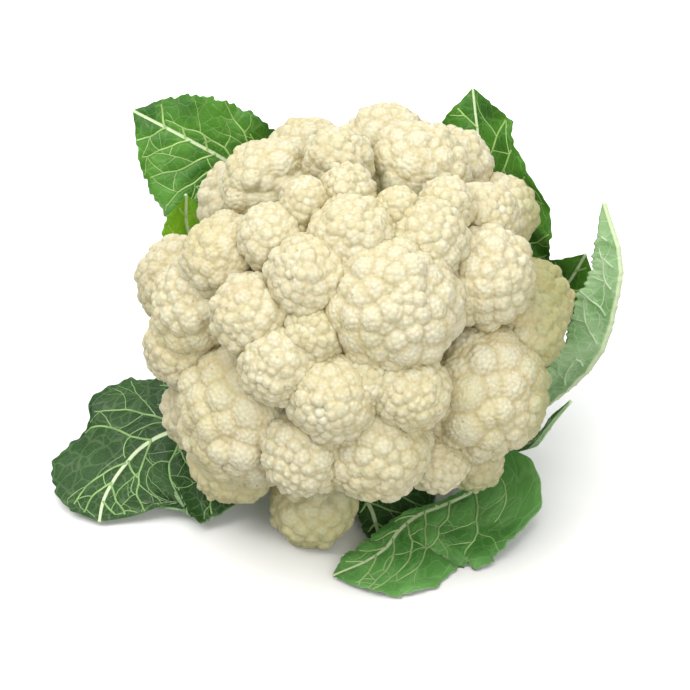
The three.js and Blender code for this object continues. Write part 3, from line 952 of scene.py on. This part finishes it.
def grow_vein_cords(node, laid, finish):
    """One piece for all the side veins of a leaf: round cords, thinning towards their ends."""
    shape = bpy.data.curves.new(f"{node}_veins", "CURVE")
    shape.dimensions = "3D"
    shape.bevel_depth = MM
    shape.bevel_resolution = 1
    shape.use_fill_caps = True
    for middle, radius in laid:
        line = shape.splines.new("POLY")
        line.points.add(len(middle) - 1)
        place = (middle + leaf_base) * MM
        line.points.foreach_set("co", np.hstack([place, np.ones((len(place), 1))]).ravel())
        line.points.foreach_set("radius", radius)
    piece = bpy.data.objects.new(f"{node}_veins", shape)
    bpy.context.collection.objects.link(piece)
    bpy.ops.object.select_all(action="DESELECT")
    piece.select_set(True)
    bpy.context.view_layer.objects.active = piece
    bpy.ops.object.convert(target="MESH")
    piece = bpy.context.object
    bpy.ops.object.shade_smooth()
    points = read_points(piece) / MM
    points[:, 2] = np.maximum(points[:, 2], TABLE_GAP / 2)
    write_mesh_points(piece, points)
    piece.data.materials.append(finish)
    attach(piece, "root")
    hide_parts(node)
    return piece


def grow_leaf(node, leaf, finish, seed):
    """The midrib and blade of a leaf as one piece, and the lines for its side veins."""
    random = np.random.default_rng(seed)
    top, bottom, masks, flat_place, laid = leaf_strip(leaf, random)
    rings, columns = top.shape[0] - 1, top.shape[1] - 1
    piece = ringed_cylinder(f"{node}_blade", 2 * columns, rings)
    points = read_points(piece)
    ring = np.rint((points[:, 2] + 1) / 2 * rings).astype(int)
    angle = np.arctan2(points[:, 1], points[:, 0])
    column = np.rint((1 - np.abs(angle) / math.pi) * columns).astype(int)
    is_top = (angle <= 0)[:, None]
    place = np.where(is_top, top[ring, column], bottom[ring, column]) + leaf_base
    place[:, 2] = np.maximum(place[:, 2], TABLE_GAP)
    write_mesh_points(piece, place)
    add_layer(piece, "veins", "FLOAT_COLOR", "color", masks[ring, column])
    add_layer(piece, "underside", "FLOAT", "value", 1 - is_top)
    add_layer(piece, "pressed", "FLOAT_VECTOR", "vector", flat_place[ring, column] * MM)
    piece.data.materials.append(finish)
    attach(piece, "root")
    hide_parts(node)
    return piece, laid


# %% [markdown]
# ## The leaf's finish
# The upper side is a deep cool green with paler, bluish patches of wax. The midrib is almost
# white, the side veins pale green, and the finest ones make a faint net. The underside is
# grey green and dull. A thin blade lets light through. The leaves lit from behind are painted
# a brighter, yellower green as painted light, the leaf in the head's shadow a lighter green
# as painted light, and the left leaf and the leaf tucked under the head a darker green as
# painted shade.

# %% Leaf materials
# For each finish: the upper side where it is dark and light and the net on it, the underside
# where it is dark and light, and the side veins.
LEAF_COLOURS = {
    # Painted light: a lighter copy of the leaf green, for the leaf in the head's shadow.
    "leaf_fresh": ((0.036, 0.165, 0.020), (0.135, 0.350, 0.085), (0.46, 0.64, 0.34),
                   (0.16, 0.28, 0.13), (0.30, 0.44, 0.24), (0.36, 0.55, 0.22)),
    # Painted shade: a darker copy of the leaf green, for the left leaf and the leaf tucked under the head.
    "leaf_deep": ((0.007, 0.040, 0.004), (0.026, 0.085, 0.015), (0.42, 0.60, 0.30),
                  (0.16, 0.28, 0.13), (0.30, 0.44, 0.24), (0.30, 0.50, 0.18)),
    # Painted light: a brighter, yellower copy of the leaf green, for the leaves lit from behind.
    "leaf_bright": ((0.018, 0.105, 0.004), (0.080, 0.26, 0.018), (0.45, 0.66, 0.28),
                    (0.16, 0.30, 0.10), (0.28, 0.44, 0.20), (0.40, 0.62, 0.20)),
    "leaf_tender": ((0.10, 0.32, 0.005), (0.26, 0.58, 0.02), (0.50, 0.72, 0.22),
                    (0.16, 0.30, 0.10), (0.28, 0.44, 0.20), (0.45, 0.68, 0.14)),
    "leaf_waxy": ((0.03, 0.11, 0.02), (0.09, 0.24, 0.05), (0.60, 0.74, 0.52),
                  (0.15, 0.31, 0.10), (0.34, 0.52, 0.27), (0.52, 0.68, 0.42)),
}
RIB_COLOUR = (0.62, 0.74, 0.46, 1)
COARSE_CELLS, FINE_CELLS = 200.0, 620.0  # of the two nets, to a metre


def leaf_net_group():
    """A node group: the finest net of veins, from 0 to 1, on the leaf's own flat places."""
    group = bpy.data.node_groups.new("finest_veins", "ShaderNodeTree")
    for name, way in (("Cells", "INPUT"), ("Net", "OUTPUT"), ("Tone", "OUTPUT")):
        group.interface.new_socket(name, in_out=way, socket_type="NodeSocketFloat")
    enter = group.nodes.new("NodeGroupInput")
    leave = group.nodes.new("NodeGroupOutput")
    pressed = add_node(group, "ShaderNodeAttribute", {"attribute_name": "pressed"}).outputs["Vector"]
    drift = add_node(group, "ShaderNodeTexNoise", Vector=pressed, Scale=180.0, Detail=2.0).outputs["Color"]
    shifted = add_node(group, "ShaderNodeVectorMath", {"operation": "MULTIPLY_ADD"}, i0=drift,
                       i1=(0.004, 0.004, 0.0), i2=pressed).outputs[0]
    edges = add_node(group, "ShaderNodeTexVoronoi", {"feature": "DISTANCE_TO_EDGE"}, Vector=shifted,
                     Scale=enter.outputs["Cells"])
    join(group, leave, Net=fade(group, edges.outputs["Distance"], 0.01, 0.09),
         Tone=noise(group, pressed, 45.0, 5.0))
    return group


finest_veins = leaf_net_group()


def make_leaf_material(name, deep, light, net_colour, back_deep, back_light):
    material, tree, shader = new_material(
        name, Roughness=0.45, Subsurface_Weight=0.12, Subsurface_Radius=(0.5, 1.0, 0.2),
        Subsurface_Scale=0.0015, Specular_IOR_Level=0.28)
    rib, to_vein, _ = read_layer(tree, "veins")
    under = add_node(tree, "ShaderNodeAttribute", {"attribute_name": "underside"}).outputs["Fac"]
    coarse, fine = (add_node(tree, "ShaderNodeGroup", {"node_tree": finest_veins}, Cells=cells).outputs
                    for cells in (COARSE_CELLS, FINE_CELLS))
    net = maths(tree, "MAXIMUM", maths(tree, "MULTIPLY", coarse["Net"], 0.7),
                maths(tree, "MULTIPLY", fine["Net"], 0.3))
    tone = smooth_step(tree, coarse["Tone"], 0.3, 0.7)
    upper = mix_colour(tree, tone, deep, light)
    upper = tint(tree, upper, fade(tree, to_vein, 0.0, 4.0), 0.3, light)
    upper = tint(tree, upper, net, 0.16, net_colour)
    lower = mix_colour(tree, tone, back_deep, back_light)
    lower = tint(tree, lower, net, 0.3, net_colour)
    colour = mix_colour(tree, under, upper, lower)
    colour = mix_colour(tree, smooth_step(tree, rib, 0.2, 0.6), colour, RIB_COLOUR)
    rough = maths(tree, "MULTIPLY_ADD", under, 0.12, maths(tree, "MULTIPLY_ADD", tone, 0.18, 0.36))
    # The net stands out underneath and is pressed in above.
    height = maths(tree, "MULTIPLY", net, maths(tree, "MULTIPLY_ADD", under, 2.0, -1.0))
    height = maths(tree, "MULTIPLY_ADD", tone, 0.6, height)
    join(tree, shader, Base_Color=colour, Roughness=rough, Normal=bump(tree, height, 0.45, 0.0004))
    return material


def make_vein_material(name, colour):
    material, tree, shader = new_material(
        name, Roughness=0.42, Subsurface_Weight=0.25, Subsurface_Radius=(0.7, 1.0, 0.3),
        Subsurface_Scale=0.0012)
    tone = smooth_step(tree, noise(tree, object_place(tree), 120.0, 2.0), 0.35, 0.65)
    darker = tuple(0.72 * part for part in colour[:3]) + (1,)
    join(tree, shader, Base_Color=mix_colour(tree, tone, darker, colour))
    return material


leaf_finishes, vein_finishes = {}, {}
for name, colours in LEAF_COLOURS.items():
    *blade_colours, vein_colour = ((*colour, 1) for colour in colours)
    leaf_finishes[name] = make_leaf_material(name, *blade_colours)
    vein_finishes[name] = make_vein_material(name.replace("leaf", "vein"), vein_colour)
print("leaf finishes", len(leaf_finishes), "vein finishes", len(vein_finishes))

# %% Leaves
LEAF_SEED = 500

for number, (node, leaf) in enumerate(LEAVES.items()):
    piece, laid = grow_leaf(node, leaf, leaf_finishes[leaf["finish"]], LEAF_SEED + number)
    cords = grow_vein_cords(node, laid, vein_finishes[leaf["finish"]])
    low, high = (np.array(corner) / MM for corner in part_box(node))
    points = read_points(piece) / MM
    print(node, 2 * len(piece.data.polygons), "and", 2 * len(cords.data.polygons), "triangles,",
          "past its box by", (low - points.min(0)).round(1), (points.max(0) - high).round(1))


# %% [markdown]
# ## The stalk
# The trunk of the head is a short pale green column. It was cut straight across with a knife,
# so its end is flat, with a ring of stringy fibre round a drier pith. Leaves that were pulled
# off have left crescent scars. It is a ringed cylinder again, with its rings set to the
# trunk's radius at each height. The cut face is inset four times, to make the rim and the pith.

# %% Stalk
STALK_RADII = (18.5, 21.0, 21.5, 20.0, 20.0, 20.0, 14.0)  # from the cut end to the top, mm
STALK_HEIGHTS = (0.0, 6.0, 14.0, 26.0, 60.0, 82.36, 97.0)  # of those radii above the cut, mm
CUT_BEHIND = 82.36  # of the cut, behind the middle, mm
SCARS = ((12, 40), (17, 155), (24, 265), (31, 80), (38, 200), (45, 320))  # height mm, turn
SCAR_HALF_WIDTH, SCAR_HALF_HEIGHT = 11, 3.2  # mm
CUT_INSETS = ((0.8, 0.0), (2.2, -0.5), (3.0, -0.4), (6.0, 0.3))  # inwards and up on the cut, mm
FIBRE_RING, FIBRE_WIDTH = 13.5, 1.8  # its radius and half width, mm
STALK_GAP = 0.02  # above the table, mm


def make_stalk_material():
    material, tree, shader = new_material(
        "stalk", Roughness=0.5, Subsurface_Weight=0.2, Subsurface_Radius=(1.0, 0.9, 0.4),
        Subsurface_Scale=0.002)
    scar, cut, ring = read_layer(tree, "stalk_mask")
    place = object_place(tree)
    soft, fine = noise(tree, place, 60.0, 4.0), noise(tree, place, 900.0, 4.0)
    colour = mix_colour(tree, soft, (0.42, 0.55, 0.24, 1), (0.66, 0.72, 0.46, 1))
    colour = tint(tree, colour, scar, 0.8, (0.62, 0.55, 0.36, 1))
    face = mix_colour(tree, fine, (0.72, 0.70, 0.52, 1), (0.55, 0.50, 0.30, 1))
    face = tint(tree, face, ring, 0.6, (0.50, 0.58, 0.28, 1))
    join(tree, shader, Base_Color=mix_colour(tree, cut, colour, face),
         Roughness=maths(tree, "MULTIPLY_ADD", fine, 0.25, 0.42),
         Normal=bump(tree, maths(tree, "ADD", fine, soft), 0.4, 0.0004))
    return material


stalk_piece = ringed_cylinder("stalk_trunk", 160, 150)
points = read_points(stalk_piece)
height = (points[:, 2] + 1) / 2 * STALK_HEIGHTS[-1]
turn = np.arctan2(points[:, 1], points[:, 0])
radius = np.interp(height, STALK_HEIGHTS, STALK_RADII)
radius += 0.35 * np.sin(5 * turn + height / 9) + 0.2 * np.sin(11 * turn - height / 5)
scar = np.zeros(len(points))
for scar_height, scar_turn in SCARS:
    around = (turn - math.radians(scar_turn) + math.pi) % (2 * math.pi) - math.pi
    bowed = height - scar_height - 0.12 * (around * 9) ** 2
    spread = np.hypot(around * STALK_RADIUS / SCAR_HALF_WIDTH, bowed / SCAR_HALF_HEIGHT)
    scar = np.maximum(scar, np.clip(1.6 - 1.6 * spread, 0, 1))
radius += 0.9 * scar - 0.35 * np.clip(2 - height, 0, 2)
place = (head_middle + crown * (height - CUT_BEHIND)[:, None]
         + side * (radius * np.cos(turn))[:, None] + np.cross(crown, side) * (radius * np.sin(turn))[:, None])
place[:, 2] = np.maximum(place[:, 2], STALK_GAP)
write_mesh_points(stalk_piece, place)

choose(stalk_piece, "FACE", lambda face: len(face.vertices) > 4 and np.array(face.normal) @ crown < -0.9)
for rim, sink in CUT_INSETS:
    bpy.ops.mesh.inset(thickness=rim * MM, depth=sink * MM)
bpy.ops.object.mode_set(mode="OBJECT")

points = read_points(stalk_piece) / MM - head_middle
height = points @ crown + CUT_BEHIND
from_axis = np.linalg.norm(points - (points @ crown)[:, None] * crown, axis=1)
on_face = ((height < 0.6) & (from_axis < STALK_RADII[0] - 0.9)).astype(float)
ring = np.exp(-((from_axis - FIBRE_RING) / FIBRE_WIDTH) ** 2)
scars = np.zeros(len(points))
scars[:len(scar)] = scar
add_layer(stalk_piece, "stalk_mask", "FLOAT_COLOR", "color", np.stack([scars, on_face, ring, ring], 1))
stalk_piece.data.materials.append(make_stalk_material())
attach(stalk_piece, "root")
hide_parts("stalk")
print("stalk points", len(points), "lowest", round(read_points(stalk_piece)[:, 2].min() / MM, 2), "mm")
